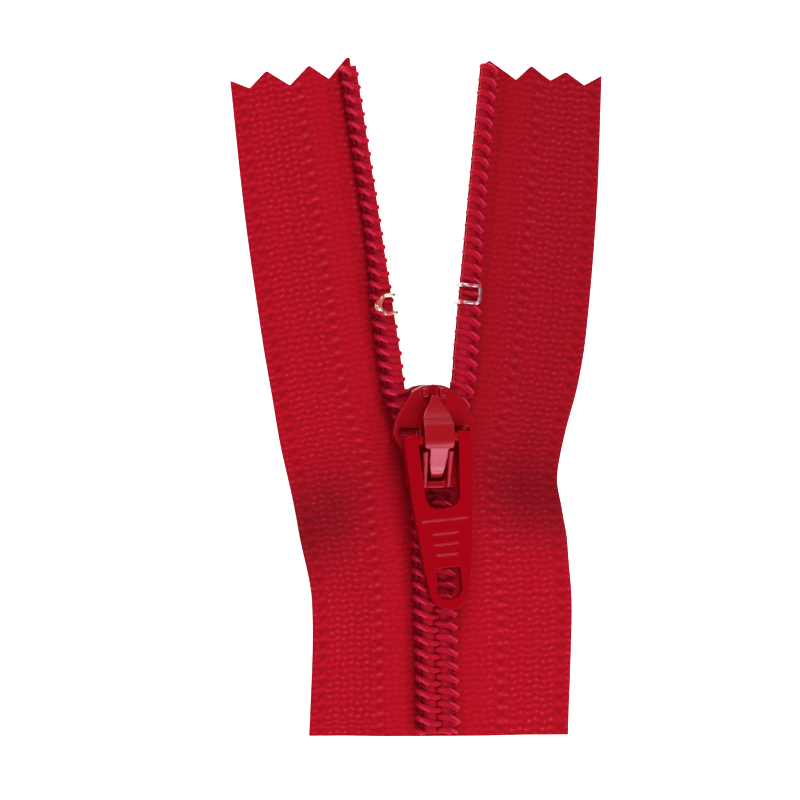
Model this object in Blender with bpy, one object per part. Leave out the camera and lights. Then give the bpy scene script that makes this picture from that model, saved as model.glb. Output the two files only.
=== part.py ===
"""A nylon-coil dress zipper with an auto-lock slider, lying face up and drawn part open.

Metres, +Z up, floor at z = 0. The chain's axis runs along +Y, from the straight cut end to the
pinked tops, and the slider travels along it. The row's origin is on the floor under the middle
of the whole zipper. Everything is laid out first in chain coordinates, with the origin where
the chain's axis meets the cut end, and one empty moves it all to the row's origin.

Each side, or stringer, is a woven tape with a coil sewn along its inner edge. A stringer is cut
into five lengths at the four places where the slider makes it bend. Two of those places carry
the bend now, in the slider's mouth, and the other two carry it when the slider is pulled down
by TRAVEL.
"""

import math

import bmesh
import bpy
from mathutils import Matrix, Vector

MM = 0.001
SIDES = {"left": -1, "right": 1}

# The zipper's own extent, in chain coordinates, puts the row's origin under its middle
ROW_ORIGIN = Vector((0.200 * MM, 31.994 * MM, 0.0))

# Bends of each stringer, by length along the coil from the cut end
LENGTH = 65.2 * MM
TRAVEL = 20.0 * MM
FIRST_BEND = 26.45 * MM
SECOND_BEND = 33.55 * MM
BEND_REACH = 3.5 * MM  # half the length over which one bend is spread
THROAT_ANGLE = math.radians(20.0)
ARM_ANGLE = math.radians(7.3)
SEGMENT_GAP = 0.04 * MM
SEGMENTS = (
    ("end", 0.0, FIRST_BEND - TRAVEL),
    ("lower_throat", FIRST_BEND - TRAVEL, SECOND_BEND - TRAVEL),
    ("middle", SECOND_BEND - TRAVEL, FIRST_BEND),
    ("throat", FIRST_BEND, SECOND_BEND),
    ("arm", SECOND_BEND, LENGTH),
)

# Coil: a loop's points are (outward from the coil's centreline, along the chain, height)
COIL_OFFSET = 0.95 * MM  # chain's axis to a coil's centreline
PITCH = 1.27 * MM
WIRE_RADIUS = 0.25 * MM
LOOP = (
    (-0.95, 0.00, 2.72),
    (-0.35, 0.03, 2.90),
    (0.62, 0.42, 2.86),
    (0.90, 0.58, 2.35),
    (0.62, 0.74, 1.84),
    (-0.40, 1.22, 1.80),
    (-0.95, 1.26, 1.98),
)
COIL_START = 0.35 * MM
COIL_END = 64.4 * MM
CORD_RADIUS = 0.23 * MM
CORD_HEIGHT = 2.35 * MM
THREAD_RADIUS = 0.07 * MM
THREAD_OUT = 0.75 * MM
THREAD_HEIGHT = 3.25 * MM

# Tape: level under the coil, then sloping down to lie on the floor
TAPE_THICKNESS = 0.5 * MM
TAPE_LEVEL = 1.0 * MM  # its underside, under the coil
SLOPE_START = 3.2 * MM
SLOPE_END = 8.3 * MM
TAPE_WIDTH = {"left": 11.25 * MM, "right": 11.95 * MM}  # coil's centreline to outer edge
# Zigzag cut of the tops: (outward from the coil's centreline, how far back it cuts)
PINKED = {
    "left": ((-0.6, 0.0), (1.4, 1.75), (3.2, 0.2), (5.4, 1.75), (7.5, 0.0), (9.35, 1.4), (11.25, 0.4)),
    "right": ((-0.6, 0.8), (-0.1, 0.35), (2.75, 1.9), (4.35, 0.35), (6.65, 1.5), (8.2, 0.5),
              (10.1, 1.6), (11.95, 0.43)),
}
CUT_SLANT = -0.045  # the lower cut isn't quite square to the chain
ROW_STEP = 2.0 * MM

# Outer edge of each tape: (along the chain, away from its axis)
OUTER_EDGE = {
    "left": ((0.0, 12.15), (13.5, 11.5), (20.0, 12.85), (24.0, 13.67), (28.0, 14.4),
             (33.0, 14.95), (38.0, 15.55), (50.0, 16.9), (62.6, 17.9)),
    "right": ((0.0, 13.5), (6.5, 13.97), (13.0, 14.25), (18.0, 13.75), (21.0, 13.0), (24.0, 12.45),
              (28.0, 13.3), (33.0, 14.93), (38.0, 16.0), (50.0, 17.42), (62.6, 18.3)),
}
EDGE_DROP = 1.5 * MM  # how far an arm's lean lowers its outer edge
DROP_START = 14.0 * MM
DROP_END = 36.0 * MM

# Slider, in its own coordinates: origin on the chain's axis, at floor level
SLIDER_Y = 28.5 * MM
LOWER_PLATE = (0.05 * MM, 0.80 * MM)
UPPER_PLATE = (3.40 * MM, 4.10 * MM)
PLATE_OUTLINE = (
    (0.0, 5.0), (1.05, 4.85), (1.9, 4.45), (2.7, 3.45), (3.35, 2.55), (3.75, 1.7), (4.02, 0.75),
    (4.05, 0.3), (3.7, -0.25), (3.1, -1.1), (2.78, -1.7), (2.72, -4.3), (2.45, -4.85),
)
FLANGE_BOTTOM = 1.75 * MM
FLANGE_INNER = ((2.2, -4.85), (2.2, -2.9), (2.42, -1.6), (2.72, -0.9), (3.05, -0.2), (3.32, 0.3))
FLANGE_OUTER = ((3.95, 0.45), (3.92, 0.3), (3.6, -0.25), (3.0, -1.12), (2.7, -1.72),
                (2.64, -4.3), (2.4, -4.85))
NECK = ((0.0, -1.1), (0.42, 0.3), (0.82, 1.6), (1.12, 2.9), (1.2, 4.1), (0.95, 4.45), (0.0, 4.7))
RAIL_INNER = 0.92 * MM
RAIL_OUTER = 1.55 * MM
RAIL_FRONT = -1.35 * MM
RAIL_REAR = -4.85 * MM
RAIL_TOPS = (4.4 * MM, 5.2 * MM)  # at the rear and at the front
PAWL_HOLE = (0.78 * MM, -4.15 * MM, -3.25 * MM)
POST_HALF_WIDTH = 1.6 * MM
POST_REAR = 3.1 * MM
POST_FRONT = 4.5 * MM
POST_TOP = 5.35 * MM
SLOT_HALF_WIDTH = 1.22 * MM
BRIDGE_DEPTH = 0.55 * MM
WALL_Y = (4.15 * MM, 4.45 * MM)
CLAW_GAP = 0.35 * MM  # axis to each claw that holds the locking spring down
CLAW_Y = (3.45 * MM, 3.95 * MM)
CLAW_Z = (5.0 * MM, 5.3 * MM)

# Locking spring: its middle line as (along the slider, height), and its half widths
SPRING_THICKNESS = 0.34 * MM
SPRING_LINE = (
    (3.9, 4.62), (3.2, 4.72), (2.5, 5.06), (1.8, 5.52), (1.2, 5.74), (1.05, 5.77), (-0.2, 5.84),
    (-0.95, 5.68), (-1.1, 5.62), (-2.0, 5.14), (-2.9, 4.66), (-3.5, 4.36), (-3.7, 3.98), (-3.7, 3.5),
)
SPRING_HALF_WIDTHS = (0.45, 0.5, 0.65, 0.85, 0.95, 1.42, 1.45, 1.4, 0.9, 0.82, 0.7, 0.6, 0.55, 0.5)
SPRING_PIVOT = Vector((0.0, 3.7 * MM, 4.62 * MM))

# Pull tab, in its own coordinates: the crossbar on the X axis, the tab along -Y
BAR_Y = -0.2 * MM
BAR_HEIGHT = 5.0 * MM
BAR_RADIUS = 0.44 * MM
TAB_SLOPE = math.radians(4.4)
TAB_SKEW = math.radians(4.0)
TAB_THICKNESS = 0.9 * MM
TAB_OUTLINE = ((2.65, 0.6), (3.2, 0.45), (3.35, 0.0), (2.95, -6.2), (2.6, -9.4), (2.3, -12.6))
TAB_TIP = (1.95, -14.35)  # centre line distance and place where the round tip starts
TAB_LENGTH = 16.3
TAB_BEVEL = 0.12 * MM
FORK_TOP = 0.6  # how far the fork's arms reach past the crossbar
WINDOW = ((2.08, -5.4), (1.85, -6.1), (1.3, -6.6), (0.0, -6.75))
LOWER_HOLE = ((1.17, -12.25), (1.17, -14.6), (0.75, -15.15), (0.0, -15.25))
BAR_LENGTH = 4.9 * MM
# Raised cross lines: (half width, place, half depth)
RIBS = ((2.3, -7.5, 0.12), (1.3, -8.8, 0.15), (1.2, -9.8, 0.15), (1.1, -10.8, 0.15))
RIB_HEIGHT = 0.14 * MM

# Top stops: a bent metal clip round the coil's inner part, as (outward from its centreline, height)
STOP_OUTLINE = (
    (0.55, 3.38), (0.55, 3.70), (-1.45, 3.72), (-1.72, 3.45), (-1.72, 0.85), (-1.50, 0.62),
    (0.55, 0.62), (0.55, 0.92), (-1.36, 0.92), (-1.36, 3.38),
)
STOP_SPAN = {"left": (40.4 * MM, 42.3 * MM), "right": (41.2 * MM, 43.3 * MM)}


def clear_scene():
    for old in list(bpy.data.objects):
        bpy.data.objects.remove(old)


def material(name, colour, roughness, metallic=0.0):
    made = bpy.data.materials.new(name)
    made.use_nodes = True
    shader = made.node_tree.nodes["Principled BSDF"]
    shader.inputs["Base Color"].default_value = (*colour, 1.0)
    shader.inputs["Roughness"].default_value = roughness
    shader.inputs["Metallic"].default_value = metallic
    made.diffuse_color = (*colour, 1.0)
    return made


def empty(name, parent, place=(0.0, 0.0, 0.0)):
    """An empty marks a body: it stands on that body's joint axis, in its parent's coordinates."""
    made = bpy.data.objects.new(name, None)
    made.parent = parent
    made.location = place
    bpy.context.scene.collection.objects.link(made)
    return made


def add_object(name, data, parent, finish, shift=(0.0, 0.0, 0.0)):
    """Links an object whose data is drawn from shift, a point in its parent's coordinates."""
    made = bpy.data.objects.new(name, data)
    made.parent = parent
    made.location = -Vector(shift)
    if finish:
        data.materials.append(finish)
    bpy.context.scene.collection.objects.link(made)
    return made


def mesh_from(name, vertices, faces):
    data = bpy.data.meshes.new(name)
    data.from_pydata(vertices, [], faces)
    shape = bmesh.new()
    shape.from_mesh(data)
    bmesh.ops.recalc_face_normals(shape, faces=shape.faces)
    shape.to_mesh(data)
    shape.free()
    return data


def helper(shape):
    """Marks an object as a tool that only shapes others."""
    shape.hide_render = True
    shape.display_type = "WIRE"
    return shape


def combine(target, tool, operation):
    made = target.modifiers.new(f"{operation.title()} {tool.name}", "BOOLEAN")
    made.operation = operation
    made.solver = "EXACT"
    made.object = helper(tool)


def smooth(t):
    t = min(max(t, 0.0), 1.0)
    return t * t * (3.0 - 2.0 * t)


def turned(point, pivot, angle):
    return pivot + Matrix.Rotation(angle, 2) @ (point - pivot)


def bend_share(along, bend):
    return smooth((along - bend + BEND_REACH) / (2.0 * BEND_REACH))


def bent(side, out, along):
    """Where a point of a straight stringer goes, out from its coil and along it, once it bends."""
    sign = SIDES[side]
    place = Vector((sign * (COIL_OFFSET + out), along))
    first = Vector((sign * COIL_OFFSET, FIRST_BEND))
    second = Vector((sign * COIL_OFFSET, SECOND_BEND))
    back = THROAT_ANGLE - ARM_ANGLE
    place = turned(place, second, sign * back * bend_share(along, SECOND_BEND))
    return turned(place, first, -sign * THROAT_ANGLE * bend_share(along, FIRST_BEND))


def outer_edge(side, y):
    """Smooth curve through OUTER_EDGE: cubic pieces whose slopes come from their neighbours."""
    points = [(a * MM, b * MM) for a, b in OUTER_EDGE[side]]
    last = len(points) - 1
    slopes = []
    for n in range(last + 1):
        low, high = points[max(n - 1, 0)], points[min(n + 1, last)]
        slopes.append((high[1] - low[1]) / (high[0] - low[0]))
    n = max((k for k in range(last) if points[k][0] <= y), default=0)
    (y0, x0), (y1, x1) = points[n], points[n + 1]
    span = y1 - y0
    t = min(max((y - y0) / span, 0.0), 1.0)
    return (
        x0 * (1 + 2 * t) * (1 - t) ** 2
        + x1 * t * t * (3 - 2 * t)
        + span * (slopes[n] * t * (1 - t) ** 2 - slopes[n + 1] * t * t * (1 - t))
    )


def tape_place(side, out, along):
    """The tape follows the coil near it, and its own outer edge further out."""
    sign = SIDES[side]
    near = bent(side, out, along)
    coil = bent(side, 0.0, along)
    drop = EDGE_DROP * smooth((along - DROP_START) / (DROP_END - DROP_START))
    edge_y = coil.y - drop
    edge = Vector((sign * outer_edge(side, edge_y), edge_y))
    far = coil + (edge - coil) * (out / TAPE_WIDTH[side])
    place = near.lerp(far, smooth((out - 1.5 * MM) / (4.5 * MM)))
    if along < 2.0 * MM:
        place.y += CUT_SLANT * place.x * (1.0 - along / (2.0 * MM))
    return place


def tape_height(out):
    return TAPE_LEVEL * (1.0 - smooth((out - SLOPE_START) / (SLOPE_END - SLOPE_START)))



def stations(start, end, step):
    count = max(1, round((end - start) / step))
    return [start + (end - start) * n / count for n in range(count + 1)]


def tape_mesh(name, side, start, end):
    pinked = [(out * MM, back * MM) for out, back in PINKED[side]]
    rows = stations(start, end, ROW_STEP)
    vertices = []
    for row in rows:
        for out, back in pinked:
            along = row - back if row == LENGTH else row
            place = tape_place(side, out, along)
            height = tape_height(out)
            vertices.append((place.x, place.y, height))
            vertices.append((place.x, place.y, height + TAPE_THICKNESS))
    wide = 2 * len(pinked)
    faces = []
    for r in range(len(rows) - 1):
        for c in range(len(pinked) - 1):
            a, b = r * wide + 2 * c, (r + 1) * wide + 2 * c
            faces.append((a, a + 2, b + 2, b))
            faces.append((a + 1, b + 1, b + 3, a + 3))
        a, b = r * wide, (r + 1) * wide
        faces.append((a, b, b + 1, a + 1))
        a, b = a + wide - 2, b + wide - 2
        faces.append((a, a + 1, b + 1, b))
    for c in range(len(pinked) - 1):
        a, b = 2 * c, (len(rows) - 1) * wide + 2 * c
        faces.append((a, a + 1, a + 3, a + 2))
        faces.append((b, b + 2, b + 3, b + 1))
    return mesh_from(name, vertices, faces)


def coil_points(side, start, end):
    """A coil's wire from start to end: (out, along, height), with a point on each limit.

    The right coil is the left one turned by half a turn, so both lean the same way.
    """
    phase, loop = 0.0, LOOP
    if side == "right":
        phase, loop = 0.5 * PITCH, [(s, -y, z) for s, y, z in reversed(LOOP)]
    first = math.floor(start / PITCH) - 2
    last = math.ceil(end / PITCH) + 2
    wire = [
        (s * MM, n * PITCH + phase + y * MM, z * MM)
        for n in range(first, last)
        for s, y, z in loop
    ]
    found = []
    for before, after in zip(wire, wire[1:]):
        if before[1] >= start and before[1] <= end:
            found.append(before)
        for limit in (start, end):
            if before[1] < limit < after[1]:
                t = (limit - before[1]) / (after[1] - before[1])
                found.append(tuple(a + t * (b - a) for a, b in zip(before, after)))
    return found


def tube(name, path, radius, resolution):
    data = bpy.data.curves.new(name, "CURVE")
    data.dimensions = "3D"
    data.bevel_depth = radius
    data.bevel_resolution = resolution
    data.use_fill_caps = True
    spline = data.splines.new("POLY")
    spline.points.add(len(path) - 1)
    for point, place in zip(spline.points, path):
        point.co = (*place, 1.0)
    return data


def stringer_path(side, route):
    """Bends a route of (out, along, height) points with its stringer."""
    return [(*bent(side, out, along), height) for out, along, height in route]


def build_stringer(side, bodies, finishes):
    for number, (segment, start, end) in enumerate(SEGMENTS):
        body = bodies[segment]
        shift = body["place"]
        low = start + (SEGMENT_GAP if number else 0.0)
        high = end - (SEGMENT_GAP if number < len(SEGMENTS) - 1 else 0.0)
        name = f"{side}_tape_{segment}"
        mesh = tape_mesh(name, side, low, high)
        add_object(name, mesh, body["empty"], finishes["tape"], shift)
        low, high = max(low, COIL_START), min(high, COIL_END)
        name = f"{side}_coil_{segment}"
        wire = stringer_path(side, coil_points(side, low, high))
        add_object(name, tube(name, wire, WIRE_RADIUS, 0), body["empty"], finishes["coil"], shift)
        rows = stations(low, high, ROW_STEP)
        name = f"{side}_cord_{segment}"
        cord = stringer_path(side, [(0.0, row, CORD_HEIGHT) for row in rows])
        add_object(name, tube(name, cord, CORD_RADIUS, 1), body["empty"], finishes["cord"], shift)
        name = f"{side}_stitching_{segment}"
        thread = stringer_path(side, [(THREAD_OUT, row, THREAD_HEIGHT) for row in rows])
        data = tube(name, thread, THREAD_RADIUS, 0)
        add_object(name, data, body["empty"], finishes["thread"], shift)


def build_top_stop(side, body, finish):
    name = f"{side}_top_stop"
    start, end = STOP_SPAN[side]
    vertices = []
    for along in (start, end):
        for out, height in STOP_OUTLINE:
            vertices.append((*bent(side, out * MM, along), height * MM))
    count = len(STOP_OUTLINE)
    faces = [tuple(range(count)), tuple(range(2 * count - 1, count - 1, -1))]
    for n in range(count):
        after = (n + 1) % count
        faces.append((n, n + count, after + count, after))
    mesh = mesh_from(name, vertices, faces)
    made = add_object(name, mesh, body["empty"], finish, body["place"])
    bevel = made.modifiers.new("Rounded edges", "BEVEL")
    bevel.width = 0.06 * MM
    bevel.segments = 1


def mirrored(half):
    """A closed outline from its right half, which runs from the axis round to the axis."""
    right = [(x * MM, y * MM) for x, y in half]
    left = [(-x, y) for x, y in reversed(right) if x > 0]
    return right + left


def prism(name, outline, low, high, parent, finish=None, bevel=0.0):
    """An outline in the XY plane, raised from low to high."""
    count = len(outline)
    vertices = [(x, y, low) for x, y in outline] + [(x, y, high) for x, y in outline]
    faces = [tuple(range(count - 1, -1, -1)), tuple(range(count, 2 * count))]
    for n in range(count):
        after = (n + 1) % count
        faces.append((n, after, after + count, n + count))
    made = add_object(name, mesh_from(name, vertices, faces), parent, finish)
    if bevel:
        rounding = made.modifiers.new("Rounded edges", "BEVEL")
        rounding.width = bevel
        rounding.segments = 2
        rounding.limit_method = "ANGLE"
    return made


def block(name, xs, ys, zs, parent):
    outline = [(xs[0], ys[0]), (xs[1], ys[0]), (xs[1], ys[1]), (xs[0], ys[1])]
    return prism(name, outline, zs[0], zs[1], parent)


def flange_outline(sign):
    inner = [(sign * x * MM, y * MM) for x, y in FLANGE_INNER]
    outer = [(sign * x * MM, y * MM) for x, y in FLANGE_OUTER]
    return inner + outer


def build_slider_body(parent, finish):
    plate = mirrored(PLATE_OUTLINE)
    body = prism("slider_body", plate, *UPPER_PLATE, parent, finish, bevel=0.16 * MM)
    joins = [prism("lower_plate", plate, *LOWER_PLATE, parent, bevel=0.16 * MM)]
    lap = 0.2 * MM  # how far joined pieces run into each other
    inset = 0.1 * MM  # keeps joined pieces' faces apart
    joins.append(
        prism("neck", mirrored(NECK), LOWER_PLATE[1] - lap, UPPER_PLATE[0] + lap, parent)
    )
    for sign in (-1, 1):
        joins.append(
            prism(
                f"flange {sign}", flange_outline(sign), FLANGE_BOTTOM, UPPER_PLATE[0] + lap, parent
            )
        )
        xs = (sign * RAIL_INNER, sign * RAIL_OUTER)
        rail = block(
            f"rail {sign}", xs, (RAIL_REAR, RAIL_FRONT), (UPPER_PLATE[1] - lap, RAIL_TOPS[1]),
            parent,
        )
        for corner in rail.data.vertices:
            if corner.co.z > UPPER_PLATE[1] and corner.co.y < RAIL_FRONT:
                corner.co.z = RAIL_TOPS[0]
        joins.append(rail)
        xs = (sign * SLOT_HALF_WIDTH, sign * POST_HALF_WIDTH)
        joins.append(
            block(
                f"post cheek {sign}", xs, (POST_REAR, POST_FRONT),
                (UPPER_PLATE[1] - lap, POST_TOP), parent,
            )
        )
        xs = (sign * CLAW_GAP, sign * (SLOT_HALF_WIDTH + inset))
        joins.append(block(f"claw {sign}", xs, CLAW_Y, CLAW_Z, parent))
    rail_x = (-RAIL_OUTER + inset, RAIL_OUTER - inset)
    bridge_y = (RAIL_REAR, RAIL_REAR + BRIDGE_DEPTH)
    bridge_z = (UPPER_PLATE[1] - lap, RAIL_TOPS[0] - inset)
    joins.append(block("rail bridge", rail_x, bridge_y, bridge_z, parent))
    wall_x = (-POST_HALF_WIDTH + inset, POST_HALF_WIDTH - inset)
    wall_z = (UPPER_PLATE[1] - lap, POST_TOP - inset)
    joins.append(block("post wall", wall_x, WALL_Y, wall_z, parent))
    for tool in joins:
        combine(body, tool, "UNION")
    half, rear, front = PAWL_HOLE
    through = (UPPER_PLATE[0] - 2 * lap, UPPER_PLATE[1] + 2 * lap)
    hole = block("pawl hole", (-half, half), (rear, front), through, parent)
    combine(body, hole, "DIFFERENCE")


def build_spring(parent, finish):
    """A flat strip bent along SPRING_LINE. Its rear tip is the pawl."""
    line = [Vector((y * MM, z * MM)) for y, z in SPRING_LINE]
    vertices = []
    for n, point in enumerate(line):
        run = line[min(n + 1, len(line) - 1)] - line[max(n - 1, 0)]
        normal = Vector((-run.y, run.x)).normalized() * (0.5 * SPRING_THICKNESS)
        half = SPRING_HALF_WIDTHS[n] * MM
        for offset in (normal, -normal):
            place = point + offset
            vertices.append(Vector((-half, place.x, place.y)) - SPRING_PIVOT)
            vertices.append(Vector((half, place.x, place.y)) - SPRING_PIVOT)
    faces = [(0, 1, 3, 2)]
    for n in range(len(line) - 1):
        a, b = 4 * n, 4 * n + 4
        faces.append((a, b, b + 1, a + 1))
        faces.append((a + 2, a + 3, b + 3, b + 2))
        faces.append((a, a + 2, b + 2, b))
        faces.append((a + 1, b + 1, b + 3, a + 3))
    end = 4 * (len(line) - 1)
    faces.append((end, end + 2, end + 3, end + 1))
    mesh = mesh_from("locking_spring", vertices, faces)
    add_object("locking_spring", mesh, parent, finish)


def build_pull_tab(parent, finish):
    """An open fork that holds the crossbar, running down into a holed round-ended tab."""
    half_width, tip_start = TAB_TIP
    depth = TAB_LENGTH + tip_start
    turns = [math.radians(degrees) for degrees in (0, 20, 40, 60, 76, 90)]
    tip = [(half_width * math.cos(t), tip_start - depth * math.sin(t)) for t in turns]
    # Down one outer side, round the tip and up the other side, then round the window
    edge = list(TAB_OUTLINE) + tip
    around = edge + [(-x, y) for x, y in reversed(edge[:-1])]
    window_top = (WINDOW[0][0], FORK_TOP)
    window = [window_top] + list(WINDOW)
    around += [(-x, y) for x, y in window] + list(reversed(window[:-1]))
    outline = [(x * MM, y * MM) for x, y in around]
    low, high = -0.5 * TAB_THICKNESS, 0.5 * TAB_THICKNESS
    tab = prism("pull_tab", outline, low, high, parent, finish, bevel=TAB_BEVEL)
    bpy.ops.mesh.primitive_cylinder_add(vertices=12, radius=BAR_RADIUS, depth=BAR_LENGTH)
    bar = bpy.context.active_object
    bar.name = "crossbar"
    bar.parent = parent
    bar.rotation_euler = (0.0, math.radians(90.0), 0.0)
    combine(tab, bar, "UNION")
    for n, (half, y, reach) in enumerate(RIBS):
        xs = (-half * MM, half * MM)
        ys = ((y - reach) * MM, (y + reach) * MM)
        combine(tab, block(f"rib {n}", xs, ys, (0.0, high + RIB_HEIGHT), parent), "UNION")
    hole = [(x * MM, y * MM) for x, y in LOWER_HOLE]
    hole += [(-x, y) for x, y in reversed(hole[:-1])]
    cutter = prism("lower hole", hole, -TAB_THICKNESS, TAB_THICKNESS, parent)
    combine(tab, cutter, "DIFFERENCE")


def stringer_bodies(side, root):
    """One empty for each length of a stringer, on the pivot of the bend that carries it."""
    sign = SIDES[side]
    bodies = {"end": {"empty": root, "place": Vector((0.0, 0.0, 0.0))}}
    holder, held_at = root, Vector((0.0, 0.0, 0.0))
    for segment, start, _ in SEGMENTS[1:]:
        pivot = Vector((sign * COIL_OFFSET, start, 0.0))
        if segment in ("throat", "arm"):
            pivot = Vector((*bent(side, 0.0, start), 0.0))
        holder = empty(f"{side} {segment} pivot", holder, pivot - held_at)
        held_at = pivot
        bodies[segment] = {"empty": holder, "place": pivot}
    return bodies


def main():
    clear_scene()
    finishes = {
        "tape": material("tape", (0.40, 0.006, 0.02), 0.9),
        "coil": material("coil", (0.45, 0.006, 0.025), 0.35),
        "cord": material("cord", (0.36, 0.006, 0.02), 0.9),
        "thread": material("thread", (0.50, 0.01, 0.04), 0.7),
        "enamel": material("enamel", (0.42, 0.004, 0.012), 0.22),
        "stop metal": material("stop metal", (0.62, 0.54, 0.46), 0.35, 1.0),
    }
    root = empty("zipper", None, -ROW_ORIGIN)
    for side in SIDES:
        bodies = stringer_bodies(side, root)
        build_stringer(side, bodies, finishes)
        build_top_stop(side, bodies["arm"], finishes["stop metal"])
    slider = empty("slider", root, (0.0, SLIDER_Y, 0.0))
    build_slider_body(slider, finishes["enamel"])
    spring = empty("spring pivot", slider, SPRING_PIVOT)
    build_spring(spring, finishes["enamel"])
    pull = empty("pull pivot", slider, (0.0, BAR_Y, BAR_HEIGHT))
    pull.rotation_euler = (TAB_SLOPE, 0.0, TAB_SKEW)
    build_pull_tab(pull, finishes["enamel"])


main()
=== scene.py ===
"""Visual of a nylon-coil dress zipper, lying part open on a white table.

Shapes are laid out in chain coordinates in millimetres, with the origin where the chain's axis
meets the straight cut end, and moved to the row's frame in metres when they are made. A place on
a stringer is given as (out, along): outward from its coil's centreline, and along the coil.
"""

import math

import bmesh
import bpy
import numpy as np
from mathutils import Matrix, Vector

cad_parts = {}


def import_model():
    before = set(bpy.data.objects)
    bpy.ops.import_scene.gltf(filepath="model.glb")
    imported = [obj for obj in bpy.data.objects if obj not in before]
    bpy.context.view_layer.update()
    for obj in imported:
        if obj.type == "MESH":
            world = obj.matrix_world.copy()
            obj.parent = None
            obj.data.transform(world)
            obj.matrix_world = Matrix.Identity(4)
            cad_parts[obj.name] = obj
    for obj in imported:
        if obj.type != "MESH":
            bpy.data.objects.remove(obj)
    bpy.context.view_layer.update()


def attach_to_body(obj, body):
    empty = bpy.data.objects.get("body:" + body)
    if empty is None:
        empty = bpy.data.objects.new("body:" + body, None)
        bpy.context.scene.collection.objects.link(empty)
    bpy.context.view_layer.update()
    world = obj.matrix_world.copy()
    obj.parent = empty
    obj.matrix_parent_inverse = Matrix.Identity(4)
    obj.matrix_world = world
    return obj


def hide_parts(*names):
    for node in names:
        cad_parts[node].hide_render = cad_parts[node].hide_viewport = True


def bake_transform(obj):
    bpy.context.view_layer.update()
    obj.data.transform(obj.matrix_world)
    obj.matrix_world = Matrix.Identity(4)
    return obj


MM = 0.001
SIDES = {"left": -1, "right": 1}
ROW_ORIGIN = np.array((0.200, 31.994, 0.0))  # the row's origin in chain coordinates

# ---------------------------------------------------------------- layout, as in the CAD source

LENGTH = 65.2
FIRST_BEND = 26.45
SECOND_BEND = 33.55
BEND_REACH = 3.5  # each bend runs this far to both sides of its place
THROAT_ANGLE = math.radians(20.0)
ARM_ANGLE = math.radians(7.3)
COIL_OFFSET = 0.95  # from the chain's axis to each coil's centreline
PITCH = 1.27
SLIDER_Y = 28.5

# Lengths that bend as one piece: name, ends, where the bend between its two bodies starts, those
# bodies, and the CAD segments that the length stands for
STRIPS = (
    ("lower", 0.0, 10.0, 2.95, "closed_end", "{}_lower_throat", ("end",)),
    ("middle", 10.0, 20.0, 10.05, "{}_lower_throat", "{}_middle", ("lower_throat",)),
    ("mouth", 20.0, 30.0, 22.95, "{}_middle", "{}_throat", ("middle",)),
    ("open", 30.0, LENGTH, 30.05, "{}_throat", "{}_arm", ("throat", "arm")),
)
BLEND_REACH = 7.0  # length of that bend


def smooth(t):
    """Rises from 0 to 1 as t does, level at both ends."""
    t = np.clip(t, 0.0, 1.0)
    return t * t * (3.0 - 2.0 * t)


def eased(value, start, end):
    """0 up to the start, 1 from the end on, and a smooth rise between them."""
    return smooth((value - start) / (end - start))


def hump(value, centre, half):
    """1 at the centre, falling off smoothly on both sides."""
    return np.exp(-(((value - centre) / half) ** 2))


def turned(x, y, pivot_x, pivot_y, angle):
    across, up = x - pivot_x, y - pivot_y
    cosine, sine = np.cos(angle), np.sin(angle)
    return pivot_x + across * cosine - up * sine, pivot_y + across * sine + up * cosine


def bend_share(along, bend):
    return eased(along, bend - BEND_REACH, bend + BEND_REACH)


def bent(side, out, along):
    """Where a point of a straight stringer goes once it bends."""
    sign = SIDES[side]
    axis = sign * COIL_OFFSET
    back = sign * (THROAT_ANGLE - ARM_ANGLE) * bend_share(along, SECOND_BEND)
    x, y = turned(sign * (COIL_OFFSET + out), along, axis, SECOND_BEND, back)
    return turned(x, y, axis, FIRST_BEND, -sign * THROAT_ANGLE * bend_share(along, FIRST_BEND))


def to_row(x, y, z):
    """Chain millimetres to row metres, as an array of points."""
    points = np.stack([np.ravel(a) for a in np.broadcast_arrays(x, y, z)], axis=1)
    return (points - ROW_ORIGIN) * MM


def linked(name, data):
    """A new object for the data, placed in the scene."""
    made = bpy.data.objects.new(name, data)
    bpy.context.scene.collection.objects.link(made)
    return made


def new_piece(name, points, faces, finish):
    """A smooth-shaded piece from points in row metres."""
    data = bpy.data.meshes.new(name)
    data.from_pydata(points.tolist(), [], faces)
    data.shade_smooth()
    data.materials.append(finish)
    return linked(name, data)


def attach(piece, side, strip, kind):
    """Bakes the piece where it lies and hides the CAD nodes it stands for. It works out where the bend
    between its two bodies starts and ends, but does not use that.
    """
    name, _, _, begins, first, second, segments = strip
    start = to_row(*bent(side, 0.0, begins), 0.0)[0]
    end = to_row(*bent(side, 0.0, begins + BLEND_REACH), 0.0)[0]
    if name == "open":
        # This bend is measured straight along the chain, not along the slanting arm
        start[0] = end[0]
        start[1] = (begins - ROW_ORIGIN[1]) * MM
    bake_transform(piece)
    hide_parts(*(f"{side}_{kind}_{segment}" for segment in segments))


# ---------------------------------------------------------------- tape: its shape

TAPE_THICKNESS = 0.5
TAPE_INNER = -0.945
TAPE_WIDTH = {"left": 11.25, "right": 11.95}  # outward from the coil's centreline
# Its underside is this high beside the coil and comes down to the table between these places
TAPE_LEVEL = 1.0
SLOPE_START = 3.2
SLOPE_END = 8.3
TAPE_STEP = 0.13  # between neighbouring points of its mesh
EDGE_ROUNDING = 0.25
EDGE_THINNEST = 0.03  # square of the share of its thickness that the very edge keeps

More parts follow.
